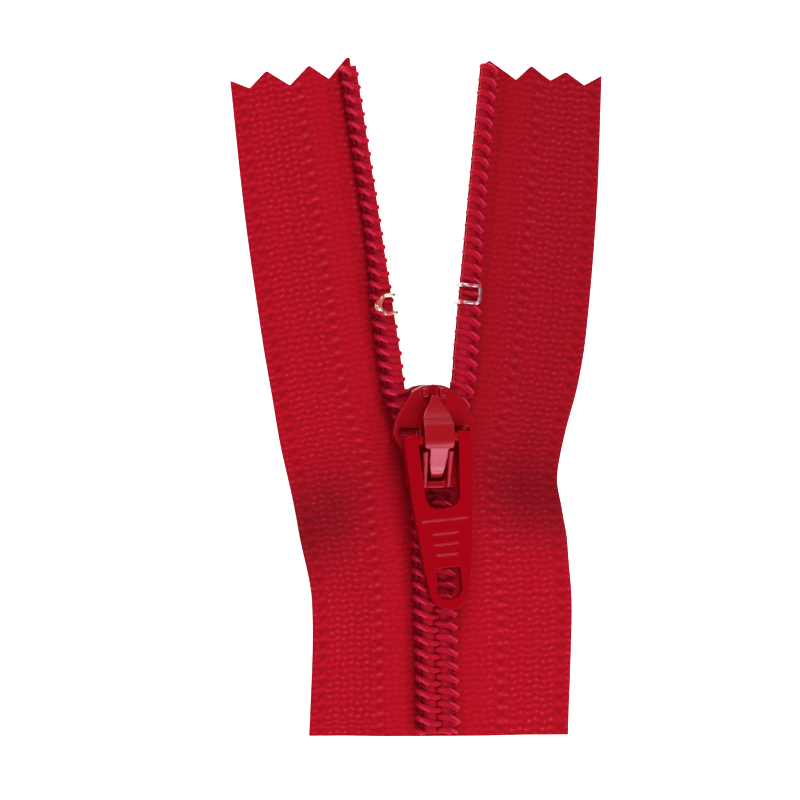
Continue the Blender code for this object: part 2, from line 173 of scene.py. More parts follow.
# The pinked end's teeth: (out, how far the cut stands back from the full length)
PINKED = {
    "left": ((-0.6, 0.0), (1.4, 1.75), (3.2, 0.2), (5.4, 1.75), (7.5, 0.0), (9.35, 1.4), (11.25, 0.4)),
    "right": ((-0.6, 0.8), (-0.1, 0.35), (2.75, 1.9), (4.35, 0.35), (6.65, 1.5), (8.2, 0.5),
              (10.1, 1.6), (11.95, 0.43)),
}
PINKED_REACH = 3.2  # the mesh is drawn back over this length
CUT_SLANT = -0.045  # slope of the straight cut end
CUT_SLANT_REACH = 2.0

# Each tape's outer edge: (along the chain, out from its axis)
OUTER_EDGE = {
    "left": ((0.0, 12.15), (13.5, 11.5), (20.0, 12.85), (24.0, 13.67), (28.0, 14.4),
             (33.0, 14.95), (38.0, 15.55), (50.0, 16.9), (62.6, 17.9)),
    "right": ((0.0, 13.5), (6.5, 13.97), (13.0, 14.25), (18.0, 13.75), (21.0, 13.0), (24.0, 12.45),
              (28.0, 13.3), (33.0, 14.93), (38.0, 16.0), (50.0, 17.42), (62.6, 18.3)),
}
# The tape follows the coil up to the first of these places and its outer edge from the second on
COIL_LEADS = 1.5
EDGE_LEADS = 6.0
# A row of knitting ends lower at the outer edge than at the coil, by this much from DROP_END on
EDGE_DROP = 1.5
DROP_START = 14.0
DROP_END = 36.0

# How far each outer band lifts, where it starts, its crest and end, and what share stays lifted
WAVES = {"left": (1.7, 14.2, 24.5, 42.0, 0.0), "right": (2.3, 14.4, 24.0, 42.0, 0.7)}
WAVE_INNER = 3.0  # the tape starts to lift here


def outer_edge(side, y):
    """Smooth curve through OUTER_EDGE: cubic pieces whose slopes come from their neighbours."""
    ys, xs = np.array(OUTER_EDGE[side]).T
    last = len(ys) - 1
    low, high = np.maximum(np.arange(last + 1) - 1, 0), np.minimum(np.arange(last + 1) + 1, last)
    slopes = (xs[high] - xs[low]) / (ys[high] - ys[low])
    n = np.clip(np.searchsorted(ys, y, side="right") - 1, 0, last - 1)
    span = ys[n + 1] - ys[n]
    t = np.clip((y - ys[n]) / span, 0.0, 1.0)
    return (
        xs[n] * (1 + 2 * t) * (1 - t) ** 2
        + xs[n + 1] * t * t * (3 - 2 * t)
        + span * (slopes[n] * t * (1 - t) ** 2 - slopes[n + 1] * t * t * (1 - t))
    )


def tape_place(side, out, along):
    """The tape follows the coil near it, and its own outer edge further out."""
    near_x, near_y = bent(side, out, along)
    coil_x, coil_y = bent(side, 0.0 * out, along)
    edge_y = coil_y - EDGE_DROP * eased(along, DROP_START, DROP_END)
    edge_x = SIDES[side] * outer_edge(side, edge_y)
    share = out / TAPE_WIDTH[side]
    far = eased(out, COIL_LEADS, EDGE_LEADS)
    x = near_x + (coil_x + (edge_x - coil_x) * share - near_x) * far
    y = near_y + (coil_y + (edge_y - coil_y) * share - near_y) * far
    return x, y + CUT_SLANT * x * np.clip(1.0 - along / CUT_SLANT_REACH, 0.0, 1.0)


def tape_height(out):
    return TAPE_LEVEL * (1.0 - eased(out, SLOPE_START, SLOPE_END))


def wave(side, out, along):
    """The outer band lifts off the table in one long wave."""
    amount, start, crest, end, kept = WAVES[side]
    rise = eased(along, start, crest)
    fall = 1.0 - (1.0 - kept) * eased(along, crest, end)
    return amount * rise * fall * eased(out, WAVE_INNER, TAPE_WIDTH[side])


def half_thickness(side, out):
    """Half the tape's thickness, rounded off towards both long edges."""
    rim = np.minimum(out - TAPE_INNER, TAPE_WIDTH[side] - out)
    inset = np.clip(1.0 - rim / EDGE_ROUNDING, 0.0, 1.0)
    return 0.5 * TAPE_THICKNESS * np.sqrt(np.clip(1.0 - inset**2, EDGE_THINNEST, 1.0))


def pinked_back(side, out):
    outs, backs = np.array(PINKED[side]).T
    return np.interp(out, outs, backs)


# ---------------------------------------------------------------- tape: its knitting and painted shade

# Rows run across the tape and wales along it
ROW_PITCH = 0.61
WALE_PITCH = 0.7254
ROW_ZIGZAG = 0.32  # a row steps up and down by this share of a row from wale to wale
WALE_SWAY = 0.25  # and a wale sideways by this share of a wale from row to row
ROW_SHARPNESS = 1.2
ROW_RELIEF = 0.46
CROSSING_RELIEF = 0.34  # what a row gains where it crosses a wale
WALE_RELIEF = 0.10
FACE_LEVEL = 0.06
KNIT_SEEDS = {"left": 3, "right": 11}
# Irregularities: amount, fineness and what is added to the seed
DRIFTS = ((0.10, 0.8, 0), (0.09, 2.6, 2))
GRAIN = (0.15, 9.0, 1)
NOISE_WAVES = 9
NOISE_TURN = 6.283
NOISE_RATES = (0.5, 1.5)
NOISE_SPREAD = 4.5

# A calmer band beside the coil: where it comes in and goes out, what it takes off and its own level
CALM_IN = (0.9, 1.4)
CALM_OUT = (3.2, 4.2)
CALM_LOSS = 0.45
CALM_LEVEL = 0.16

# Rows of bold loops along the tape: distance from the outer edge, and strength
BOLD_ROWS = ((6.65, 0.85), (1.0, 0.7))
BOLD_PITCH = 1.22
BOLD_HALF_WIDTH = 0.36
BOLD_SLANT = 0.15
BOLD_SHARPNESS = 1.2
BOLD_HEIGHT = 1.35
BOLD_SINK = 0.25
# The groove's low relief also paints it darker, as painted shade
GROOVE = (1.55, 0.28, 0.22)  # a groove along the coil: out, half width and depth

# How high a relief of 1 stands on the knitted face, and how far that face lies below full thickness
RELIEF_HEIGHT = 0.032
RELIEF_SINK = 0.02
# The back's colour takes this share of the relief on the same ramp of painted shade and highlights
BACK_RELIEF = 0.6  # the back's lightness, as a share of the face's

# Painted shade: the open arms' yarn is made darker, the right arm's most, standing in for the tape tilting
# away from the light
ARM_PAINTED_SHADE = {"left": 0.02, "right": 0.2}  # how much darker the open arms' yarn is
ARM_PAINTED_SHADE_STARTS = (18.0, 32.0)
# Painted shade in a band across each outer part where it rises and faces away from the light: its place at
# the outer edge, half its length, how far it climbs per mm inwards, and how dark it is
PAINTED_SHADE_BANDS = {"left": (20.5, 4.8, 0.35, 0.44), "right": (22.5, 4.6, 0.1, 0.40)}
PAINTED_SHADE_BAND_STARTS = (1.5, 8.5)  # it comes in between these places, from the coil out


def ridge(t, sharpness=1.0):
    """1 on every whole number and 0 halfway between."""
    return (0.5 + 0.5 * np.cos(2.0 * np.pi * t)) ** sharpness


def zigzag(t):
    """Triangle wave between 0 and 1 with period 1."""
    t = np.mod(t, 1.0)
    return 2.0 * np.minimum(t, 1.0 - t)


def wander(x, y, fineness, seed):
    """Smooth noise between about -1 and 1: a few waves that run in random directions."""
    random = np.random.default_rng(seed)
    x, y = x * fineness, y * fineness
    total = 0.0
    for _ in range(NOISE_WAVES):
        angle = random.uniform(0, NOISE_TURN)
        phase = random.uniform(0, NOISE_TURN)
        rate = random.uniform(*NOISE_RATES)
        total = total + np.sin(rate * (x * math.cos(angle) + y * math.sin(angle)) + phase)
    return total / NOISE_SPREAD


def loops(out, along, drift, grain):
    """The plain knitting's relief."""
    row = along / ROW_PITCH + ROW_ZIGZAG * zigzag(out / (2.0 * WALE_PITCH)) + drift
    wale = out / WALE_PITCH + WALE_SWAY * np.sin(np.pi * along / ROW_PITCH) + drift
    crossing = ROW_RELIEF + CROSSING_RELIEF * ridge(wale)
    return ridge(row, ROW_SHARPNESS) * crossing + WALE_RELIEF * ridge(wale) + grain + FACE_LEVEL


def knit(side, out, along):
    """Relief of the knitted face, from about 0 to 1.4. It also sets the yarn's colour: painted shade in the
    valleys and painted highlights on the crests.
    """
    seed = KNIT_SEEDS[side]
    drift = sum(amount * wander(out, along, fineness, seed + own) for amount, fineness, own in DRIFTS)
    amount, fineness, own = GRAIN
    face = loops(out, along, drift, amount * wander(out, along, fineness, seed + own))
    calm = eased(out, *CALM_IN) * (1.0 - eased(out, *CALM_OUT))
    face = face * (1.0 - CALM_LOSS * calm) + CALM_LEVEL * calm
    for inset, strength in BOLD_ROWS:
        line = TAPE_WIDTH[side] - inset
        near = hump(out, line, BOLD_HALF_WIDTH)
        bold = ridge(along / BOLD_PITCH + BOLD_SLANT * (out - line), BOLD_SHARPNESS)
        face = face * (1.0 - near) + near * strength * (BOLD_HEIGHT * bold - BOLD_SINK)
    place, half, depth = GROOVE
    return face - depth * hump(out, place, half)


def painted_yarn_shade(side, out, along):
    """Painted shade on the yarn: how light its colour is made, 1 being its full colour."""
    middle, half, climb, depth = PAINTED_SHADE_BANDS[side]
    centre = middle + climb * (TAPE_WIDTH[side] - out)
    band = depth * hump(along, centre, half) * eased(out, *PAINTED_SHADE_BAND_STARTS)
    return 1.0 - ARM_PAINTED_SHADE[side] * eased(along, *ARM_PAINTED_SHADE_STARTS) - band


# ---------------------------------------------------------------- tape: its mesh


def tape_grid(side, low, high):
    """Places (out, along) of one strip's points, row by row. The pinked end stands back."""
    width = TAPE_WIDTH[side]
    outs = np.linspace(TAPE_INNER, width, int((width - TAPE_INNER) / TAPE_STEP) + 1)
    rows = np.linspace(low, high, int((high - low) / TAPE_STEP) + 1)
    along, out = np.meshgrid(rows, outs, indexing="ij")
    near_top = np.clip((along - LENGTH + PINKED_REACH) / PINKED_REACH, 0.0, 1.0)
    return out, along - pinked_back(side, out) * near_top


def grid_faces(rows, columns, first, flip):
    r, c = np.meshgrid(np.arange(rows - 1), np.arange(columns - 1), indexing="ij")
    a = first + (r * columns + c).ravel()
    faces = np.stack([a, a + 1, a + 1 + columns, a + columns], axis=1)
    return faces[:, ::-1] if flip else faces


def border(rows, columns):
    """Indices round a grid, once, in order."""
    index = np.arange(rows * columns).reshape(rows, columns)
    return np.concatenate([index[0, :-1], index[:-1, -1], index[-1, :0:-1], index[:0:-1, 0]])


def shell_faces(rows, columns, flip):
    """Faces of a grid, of the same grid under it and of the wall that joins their borders."""
    count = rows * columns
    edge = border(rows, columns)
    after = np.roll(edge, -1)
    wall = np.stack([edge, edge + count, after + count, after], axis=1)
    wall = wall[:, ::-1] if flip else wall
    top, under = grid_faces(rows, columns, 0, flip), grid_faces(rows, columns, count, not flip)
    return np.concatenate([top, under, wall]).tolist()


def add_uv(mesh, uv):
    layer = mesh.uv_layers.new(name="UVMap")
    corner = np.empty(len(mesh.loops), dtype=np.int32)
    mesh.loops.foreach_get("vertex_index", corner)
    layer.data.foreach_set("uv", uv[corner].ravel().astype(np.float32))


def add_values(mesh, name, values):
    layer = mesh.attributes.new(name, "FLOAT", "POINT")
    layer.data.foreach_set("value", values.astype(np.float32))


def sharpen(mesh, edge, count):
    """Keeps the wall's faces out of the shading of the grids above and under it."""
    ends = np.empty(2 * len(mesh.edges), dtype=np.int32)
    mesh.edges.foreach_get("vertices", ends)
    ends = ends.reshape(-1, 2)
    on_top = np.isin(ends, edge).all(axis=1)
    under = np.isin(ends, edge + count).all(axis=1)
    layer = mesh.attributes.new("sharp_edge", "BOOLEAN", "EDGE")
    layer.data.foreach_set("value", on_top | under)


def build_tape(side, strip, finish):
    """One strip of tape: its knitted face, its back and the wall round both."""
    name, low, high, *_ = strip
    out, along = tape_grid(side, low, high)
    x, y = tape_place(side, out, along)
    half = half_thickness(side, out)
    middle = tape_height(out) + 0.5 * TAPE_THICKNESS + wave(side, out, along)
    face = knit(side, out, along)
    relief = RELIEF_HEIGHT * face * (half / (0.5 * TAPE_THICKNESS))
    top = to_row(x, y, middle + half + relief - RELIEF_SINK)
    under = to_row(x, y, middle - half)
    faces = shell_faces(*along.shape, SIDES[side] < 0)
    made = new_piece(f"{side}_tape_{name}_strip", np.concatenate([top, under]), faces, finish)
    mesh = made.data
    add_uv(mesh, np.tile(np.stack([out.ravel(), along.ravel()], axis=1) * MM, (2, 1)))
    # The relief also sets the painted shade and highlights of the yarn's colour
    add_values(mesh, "relief", np.concatenate([face.ravel(), face.ravel() * BACK_RELIEF]))
    # Painted shade, which multiplies the yarn's colour where the tape turns from the light
    add_values(mesh, "painted_shade", np.tile(painted_yarn_shade(side, out, along).ravel(), 2))
    sharpen(mesh, border(*along.shape), len(top))
    return made


# ---------------------------------------------------------------- coil, sewing thread and cord

# The wire's centreline through one turn of the left coil, as (out, along, height)
LOOP = (
    (-0.95, 0.00, 2.72),
    (-0.35, 0.03, 2.90),
    (0.62, 0.42, 2.86),
    (0.90, 0.58, 2.35),
    (0.62, 0.74, 1.84),
    (-0.40, 1.22, 1.80),
    (-0.95, 1.26, 1.98),
)
WIRE_RADIUS = 0.28
WIRE_STEPS = 4
COIL_START = 0.35
COIL_END = 64.4
# Between these places along, the open arms' coils get narrower by this share of their width
COIL_TURNS = (38.0, 50.0)
COIL_NARROWING = 0.36
COIL_INNER = -0.95  # their inner side, which stays where it is

# Sewing thread: one slanting strand over each loop's upper leg, then down between two legs
STRANDS = {
    "left": ((0.75, 0.60, 1.9), (0.90, 0.52, 2.75), (0.86, 0.44, 3.14), (0.58, 0.24, 3.24),
             (0.26, 0.06, 3.22), (0.10, -0.02, 2.9), (0.05, -0.05, 1.9)),
    "right": ((0.0, 0.10, 1.9), (0.06, 0.06, 2.9), (0.24, -0.02, 3.22), (0.56, -0.22, 3.24),
              (0.86, -0.42, 3.14), (0.92, -0.48, 2.75), (0.75, -0.54, 1.9)),
}
THREAD_RADIUS = 0.14
THREAD_STEPS = 3

# The cord's outer side, its inner side in the closed chain and in the open arm, and where it changes
CORD_OUTER = 0.51
CORD_INNER = (-0.85, -1.12)
CORD_OPENS = (31.0, 35.0)
CORD_HEIGHT = 2.5
CORD_FLATNESS = 0.5
CORD_STEP = 0.5
TUBE_SIDES = 10


def catmull_rom(points, steps):
    """A smooth curve through all points but the first and last."""
    points = np.array(points)
    a, b, c, d = points[:-3], points[1:-2], points[2:-1], points[3:]
    t = (np.arange(steps) / steps)[None, :, None]
    a, b, c, d = (p[:, None, :] for p in (a, b, c, d))
    curve = 0.5 * (
        2 * b + (c - a) * t + (2 * a - 5 * b + 4 * c - d) * t**2 + (3 * b - a - 3 * c + d) * t**3
    )
    return curve.reshape(-1, points.shape[1])


def drawn_in(out, along):
    """The open arms' coils turn a little on edge, so that they look narrower from above."""
    share = 1.0 - COIL_NARROWING * eased(along, *COIL_TURNS)
    return COIL_INNER + (out - COIL_INNER) * share


def repeated(turn, phase, steps, radius):
    """A route through one turn's points, repeated at every pitch, as (out, along, height, radius).

    It starts and ends a few pitches beyond the coil, where build_tubes cuts it off.
    """
    pitches = range(-2, int(LENGTH / PITCH) + 4)
    points = [(out, n * PITCH + phase + along, height) for n in pitches for out, along, height in turn]
    route = catmull_rom(points, steps)
    route[:, 0] = drawn_in(route[:, 0], route[:, 1])
    return np.column_stack([route, np.full(len(route), radius)])


def coil_route(side):
    """The right coil is the left one turned round, half a pitch further along."""
    if side == "left":
        return repeated(LOOP, 0.0, WIRE_STEPS, WIRE_RADIUS)
    loop = [(out, -along, height) for out, along, height in reversed(LOOP)]
    return repeated(loop, 0.5 * PITCH, WIRE_STEPS, WIRE_RADIUS)


def stitch_route(side):
    phase = 0.0 if side == "left" else 0.5 * PITCH
    return repeated(STRANDS[side], phase, THREAD_STEPS, THREAD_RADIUS)


def cord_route(side):
    """The cord in a coil's core. It packs the open arm's loops further in than the closed chain's."""
    rows = np.arange(COIL_START, COIL_END, CORD_STEP)
    inner = CORD_INNER[0] + (CORD_INNER[1] - CORD_INNER[0]) * eased(rows, *CORD_OPENS)
    half = 0.5 * (drawn_in(CORD_OUTER, rows) - inner)
    return np.stack([inner + half, rows, 0.0 * rows + CORD_HEIGHT, half], axis=1)


def tube_rings(centre, radius, sides, flat=1.0):
    """Rings round a path of 3-D points, with a radius at each."""
    run = np.gradient(centre, axis=0)
    run /= np.linalg.norm(run, axis=1)[:, None]
    normal = np.empty_like(run)
    guide = np.array((0.0, 0.0, 1.0))
    for n, direction in enumerate(run):
        guide = guide - direction * guide.dot(direction)
        guide /= np.linalg.norm(guide)
        normal[n] = guide
    side = np.cross(run, normal)
    turn = 2.0 * np.pi * np.arange(sides) / sides
    ring = np.cos(turn)[None, :, None] * normal[:, None] * flat + np.sin(turn)[None, :, None] * side[:, None]
    return centre[:, None, :] + radius[:, None, None] * ring


def tube_faces(rings, sides):
    r, c = np.meshgrid(np.arange(rings - 1), np.arange(sides), indexing="ij")
    a = r * sides + c
    b = r * sides + (c + 1) % sides
    faces = np.stack([a, b, b + sides, a + sides], axis=-1).reshape(-1, 4).tolist()
    faces.append(list(range(sides))[::-1])
    faces.append(list(range((rings - 1) * sides, rings * sides)))
    return faces


def build_tubes(side, kind, route, finish, flat):
    """One long tube along a stringer, cut into the strips."""
    route = route[(route[:, 1] >= COIL_START) & (route[:, 1] <= COIL_END)]
    x, y = bent(side, route[:, 0], route[:, 1])
    rings = tube_rings(np.stack([x, y, route[:, 2]], axis=1), route[:, 3], TUBE_SIDES, flat)
    made = []
    for name, low, high, *_ in STRIPS:
        first = int(np.argmax(route[:, 1] >= low))
        beyond = route[:, 1] >= high
        last = int(np.argmax(beyond)) if beyond.any() else len(route) - 1
        part = rings[first:last + 1]
        points = to_row(part[..., 0], part[..., 1], part[..., 2])
        faces = tube_faces(len(part), TUBE_SIDES)
        made.append(new_piece(f"{side}_{kind}_{name}_strip", points, faces, finish))
    return made


# ---------------------------------------------------------------- materials

WHITE = (1.0, 1.0, 1.0)
BLACK = (0.0, 0.0, 0.0)

# The knitted face's colour from its valleys to its crests, painting shade into the valleys and pinkish
# highlights onto the crests, and the shade of its fine grain
YARN_SHADE_TO_HIGHLIGHT = (
    (0.0, (0.26, 0.0001, 0.004)),
    (0.35, (0.325, 0.0002, 0.007)),
    (0.75, (0.375, 0.002, 0.02)),
    (1.0, (0.435, 0.024, 0.064)),
)
GRAIN_SHADES = ((0.3, (0.80, 0.80, 0.80)), (0.7, WHITE))
NYLON_COLOUR = (0.32, 0.0015, 0.014)
NYLON_GLOW = (1.0, 0.12, 0.2)  # how far red, green and blue light travel inside it, as shares
THREAD_COLOUR = (0.44, 0.009, 0.04)

# Enamel on each casting: name, colour, shine and roughness
ENAMELS = {
    "slider": ("slider enamel", (0.23, 0.0005, 0.004), 0.2, 0.25),
    "spring": ("spring enamel", (0.245, 0.0006, 0.004), 0.38, 0.32),
    "tab": ("tab enamel", (0.24, 0.0003, 0.004), 0.07, 0.25),
}
ENAMEL_SHEEN = (1.0, 0.42, 0.58)  # tint of its highlights
COAT_SHARE = 0.2

PAINT_THICK = (0.36, 0.006, 0.015)
PAINT_THIN = (0.40, 0.01, 0.02)
PAINT_EDGE = 0.04  # how softly the paint ends


def shader_tree(name, roughness, **inputs):
    """A new material with its node tree and shader, whose named inputs are set."""
    made = bpy.data.materials.new(name)
    made.use_nodes = True
    tree = made.node_tree
    shader = tree.nodes["Principled BSDF"]
    shader.inputs["Roughness"].default_value = roughness
    for key, value in inputs.items():
        shader.inputs[key.replace("_", " ")].default_value = value
    return made, tree, shader


def ramp_node(tree, value, stops):
    ramp = tree.nodes.new("ShaderNodeValToRGB")
    elements = ramp.color_ramp.elements
    while len(elements) < len(stops):
        elements.new(0.5)
    for element, (place, colour) in zip(elements, stops):
        element.position = place
        element.color = (*colour, 1.0)
    tree.links.new(value, ramp.inputs["Fac"])
    return ramp.outputs["Color"]


def noise_bump(tree, shader, scale, strength, distance):
    """Small unevenness of a surface. Returns its noise."""
    place = tree.nodes.new("ShaderNodeTexCoord")
    noise = tree.nodes.new("ShaderNodeTexNoise")
    noise.inputs["Scale"].default_value = scale
    noise.inputs["Detail"].default_value = 2.0
    bump = tree.nodes.new("ShaderNodeBump")
    bump.inputs["Strength"].default_value = strength
    bump.inputs["Distance"].default_value = distance
    tree.links.new(place.outputs["Object"], noise.inputs["Vector"])
    tree.links.new(noise.outputs["Fac"], bump.inputs["Height"])
    tree.links.new(bump.outputs["Normal"], shader.inputs["Normal"])
    return noise.outputs["Fac"]


def mesh_values(tree, name):
    """The values that a mesh holds under this name."""
    node = tree.nodes.new("ShaderNodeAttribute")
    node.attribute_name = name
    return node.outputs["Fac"]


def multiplied(tree, colour, factor):
    mix = tree.nodes.new("ShaderNodeMix")
    mix.data_type = "RGBA"
    mix.blend_type = "MULTIPLY"
    mix.inputs["Factor"].default_value = 1.0
    tree.links.new(colour, mix.inputs["A"])
    tree.links.new(factor, mix.inputs["B"])
    return mix.outputs["Result"]


def tape_finish():
    made, tree, shader = shader_tree("knitted tape", 0.85, Specular_IOR_Level=0.1)
    # Relief picks the colour: painted shade in the valleys, painted highlights on the crests
    colour = ramp_node(tree, mesh_values(tree, "relief"), YARN_SHADE_TO_HIGHLIGHT)
    grain = noise_bump(tree, shader, scale=3200.0, strength=0.3, distance=0.04 * MM)
    shaded = multiplied(tree, colour, ramp_node(tree, grain, GRAIN_SHADES))
    # Painted shade darkens the yarn on the open arms and where the outer parts rise
    with_painted_shade = multiplied(tree, shaded, mesh_values(tree, "painted_shade"))
    tree.links.new(with_painted_shade, shader.inputs["Base Color"])
    return made


def coil_finish():
    made, _, shader = shader_tree(
        "dyed nylon", 0.75, Specular_IOR_Level=0.1, Subsurface_Weight=0.6, Subsurface_Scale=1.0 * MM
    )
    shader.inputs["Base Color"].default_value = (*NYLON_COLOUR, 1.0)
    shader.inputs["Subsurface Radius"].default_value = NYLON_GLOW
    return made


def thread_finish():
    made, tree, shader = shader_tree("sewing thread", 0.65, Specular_IOR_Level=0.12)
    shader.inputs["Base Color"].default_value = (*THREAD_COLOUR, 1.0)
    noise_bump(tree, shader, scale=14000.0, strength=0.4, distance=0.03 * MM)
    return made


def enamel_finish(name, colour, shine, roughness):
    made, tree, shader = shader_tree(
        name, roughness, Coat_Weight=COAT_SHARE * shine, Coat_Roughness=0.12, Specular_IOR_Level=shine
    )
    shader.inputs["Base Color"].default_value = (*colour, 1.0)
    shader.inputs["Specular Tint"].default_value = (*ENAMEL_SHEEN, 1.0)
    noise_bump(tree, shader, scale=1600.0, strength=0.12, distance=0.06 * MM)
    return made


def stop_finish(name, metal, paint_share):
    """Bare bent metal whose red paint has worn off in patches."""
    made, tree, shader = shader_tree(name, 0.33)
    patches = noise_bump(tree, shader, scale=1500.0, strength=0.3, distance=0.05 * MM)
    bare = paint_share + PAINT_EDGE
    colours = ((0.0, PAINT_THICK), (paint_share, PAINT_THIN), (bare, metal), (1.0, metal))
    metallic = ((0.0, BLACK), (paint_share, BLACK), (bare, WHITE), (1.0, WHITE))
    tree.links.new(ramp_node(tree, patches, colours), shader.inputs["Base Color"])
    tree.links.new(ramp_node(tree, patches, metallic), shader.inputs["Metallic"])
    return made


# ---------------------------------------------------------------- slider, spring and pull tab

# Places on the slider are (across, along) from the chain's axis at SLIDER_Y, and heights are
# above the table. Half outlines run from the axis round the right side.
LOWER_PLATE = (0.05, 0.80)
UPPER_PLATE = (3.40, 4.10)
PLATE_OUTLINE = (
    (0.0, 5.0), (1.05, 4.85), (1.9, 4.45), (2.7, 3.45), (3.35, 2.55), (3.75, 1.7), (4.02, 0.75),
    (4.05, 0.3), (3.7, -0.25), (3.1, -1.1), (2.78, -1.7), (2.72, -4.3), (2.45, -4.85),
)
NECK = ((0.0, -0.5), (0.16, 0.3), (0.5, 1.6), (0.82, 2.9), (0.95, 4.1), (0.8, 4.4), (0.0, 4.6))
LAP = 0.2  # how far joined solids run into each other

# The side flanges under the upper plate: inner side, then outer side
FLANGE_BOTTOM = 1.75
FLANGE_INNER = ((2.4, -4.85), (2.4, -2.9), (2.6, -1.6), (2.92, -0.9), (3.3, -0.2), (3.56, 0.3))
FLANGE_OUTER = ((3.95, 0.45), (3.92, 0.3), (3.6, -0.25), (3.0, -1.12), (2.7, -1.72),
                (2.64, -4.3), (2.4, -4.85))

# The rails beside the spring's tongue, and the bridge between their rear ends
RAIL_X = (0.92, 1.55)
RAIL_Y = (-4.85, -1.35)
RAIL_TOPS = (4.3, 5.4)
RAIL_TAPER = 0.2
BRIDGE_DEPTH = 0.55
BRIDGE_INSET = 0.1

# The slotted post that holds the spring's front end
POST_HALF_WIDTH = 1.15
POST_REAR = 3.75
POST_FRONT = 4.6
POST_TOP = 4.5
SLOT_HALF_WIDTH = 0.5

PAWL_HOLE = ((-0.78, 0.78), (-4.15, -3.25), (3.0, 4.5))
# Shallow seats in the plate, clear of the ends of the tab's fork
SEAT_X = (1.5, 3.45)
SEAT_Y = (0.1, 0.85)
SEAT_Z = (3.72, 4.6)

# The locking spring, as (along, height) from its front end to the pawl, and its half widths there
SPRING_LINE = (
    (3.9, 4.6), (3.2, 4.68), (2.5, 4.84), (1.9, 5.06), (1.45, 5.36), (1.15, 5.68), (-0.2, 5.84),
    (-0.95, 5.68), (-1.1, 5.62), (-2.0, 5.14), (-2.9, 4.66), (-3.5, 4.36), (-3.7, 3.98), (-3.7, 3.5),
)
SPRING_HALF_WIDTHS = (0.38, 0.62, 1.1, 1.34, 1.42, 1.45, 1.45, 1.4, 0.95, 0.88, 0.75, 0.6, 0.55, 0.5)
SPRING_THICKNESS = 0.34
SPRING_STEPS = 4

# The pull tab, as (across, along) from its crossbar
BAR_Y = -0.2
BAR_HEIGHT = 5.0
BAR_RADIUS = 0.44
BAR_LENGTH = 4.9
BAR_SIDES = 18
TAB_SLOPE = math.radians(4.4)
TAB_SKEW = math.radians(4.0)
TAB_THICKNESS = 0.9
FORK_TOP = 0.6
TAB_OUTLINE = ((2.65, FORK_TOP), (3.2, 0.45), (3.35, 0.0), (2.95, -6.2), (2.6, -9.4), (2.3, -12.6))
TAB_TIP = (1.95, -14.35)  # half width and place where the rounded tip starts
TAB_LENGTH = 16.3
TIP_POINTS = 9
# Right halves of the window between the fork's arms and of the hole near the tip
WINDOW = ((2.02, FORK_TOP), (1.65, -5.4), (1.5, -6.0), (1.1, -6.45), (0.0, -6.6))
LOWER_HOLE = ((1.17, -12.25), (1.17, -14.6), (0.75, -15.15), (0.0, -15.25))
# Raised grip ribs: half length, place and half width
RIBS = ((2.3, -7.5, 0.10), (1.3, -8.8, 0.12), (1.2, -9.8, 0.12), (1.1, -10.8, 0.12))
RIB_HEIGHT = 0.12

# Grid that joins a piece's solids, and how many rounds of smoothing stand for its enamel
VOXEL = 0.075
SPRING_VOXEL = 0.055
SLIDER_ROUNDS = 11
SPRING_ROUNDS = 4
TAB_ROUNDS = 7


def mirrored(half):
    """A closed outline from its right half, which runs from the axis round to the axis."""
    return list(half) + [(-x, y) for x, y in reversed(half) if x > 0]


def on_side(sign, near, far):
    """The span between two distances from the axis, on one side of it."""
    return sorted((sign * near, sign * far))


def solid(name, vertices, faces):
    """A closed solid in mm. It only shapes others until it is dipped."""
    data = bpy.data.meshes.new(name)
    data.from_pydata([tuple(v) for v in vertices], [], faces)
    shape = bmesh.new()
    shape.from_mesh(data)
    bmesh.ops.recalc_face_normals(shape, faces=shape.faces)
    bmesh.ops.triangulate(shape, faces=[f for f in shape.faces if len(f.verts) > 4])
    shape.to_mesh(data)
    shape.free()
    return linked(name, data)


def prism(name, outline, low, high):
    count = len(outline)
    vertices = [(x, y, low) for x, y in outline] + [(x, y, high) for x, y in outline]
    faces = [tuple(range(count - 1, -1, -1)), tuple(range(count, 2 * count))]
    faces += [(n, (n + 1) % count, (n + 1) % count + count, n + count) for n in range(count)]
    return solid(name, vertices, faces)


def block(name, xs, ys, zs):
    return prism(name, [(xs[0], ys[0]), (xs[1], ys[0]), (xs[1], ys[1]), (xs[0], ys[1])], *zs)


def strip_solid(name, line, halves, thickness):
    """A flat strip bent along a line of (along, height), with a half width at each point."""
    line = [Vector(p) for p in line]
    vertices = []
    for n, point in enumerate(line):
        run = line[min(n + 1, len(line) - 1)] - line[max(n - 1, 0)]
        normal = Vector((-run.y, run.x)).normalized() * (0.5 * thickness)
        for offset in (normal, -normal):
            place = point + offset
            vertices.append((-halves[n], place.x, place.y))
            vertices.append((halves[n], place.x, place.y))
    faces = [(0, 1, 3, 2)]
    for n in range(len(line) - 1):
        a, b = 4 * n, 4 * n + 4
        faces += [(a, b, b + 1, a + 1), (a + 2, a + 3, b + 3, b + 2)]
        faces += [(a, a + 2, b + 2, b), (a + 1, b + 1, b + 3, a + 3)]
    end = 4 * (len(line) - 1)
    faces.append((end, end + 2, end + 3, end + 1))
    return solid(name, vertices, faces)


def gathered(name, solids):
    """One object with all the solids' faces. The solids themselves are removed."""
    vertices, faces = [], []
    for part in solids:
        first = len(vertices)
        vertices += [tuple(v.co) for v in part.data.vertices]
        faces += [tuple(first + n for n in f.vertices) for f in part.data.polygons]
        bpy.data.objects.remove(part)
    data = bpy.data.meshes.new(name)
    data.from_pydata(vertices, [], faces)
    return linked(name, data)


def remesh(made, name, voxel):
    modifier = made.modifiers.new(name, "REMESH")
    modifier.mode = "VOXEL"
    modifier.voxel_size = voxel


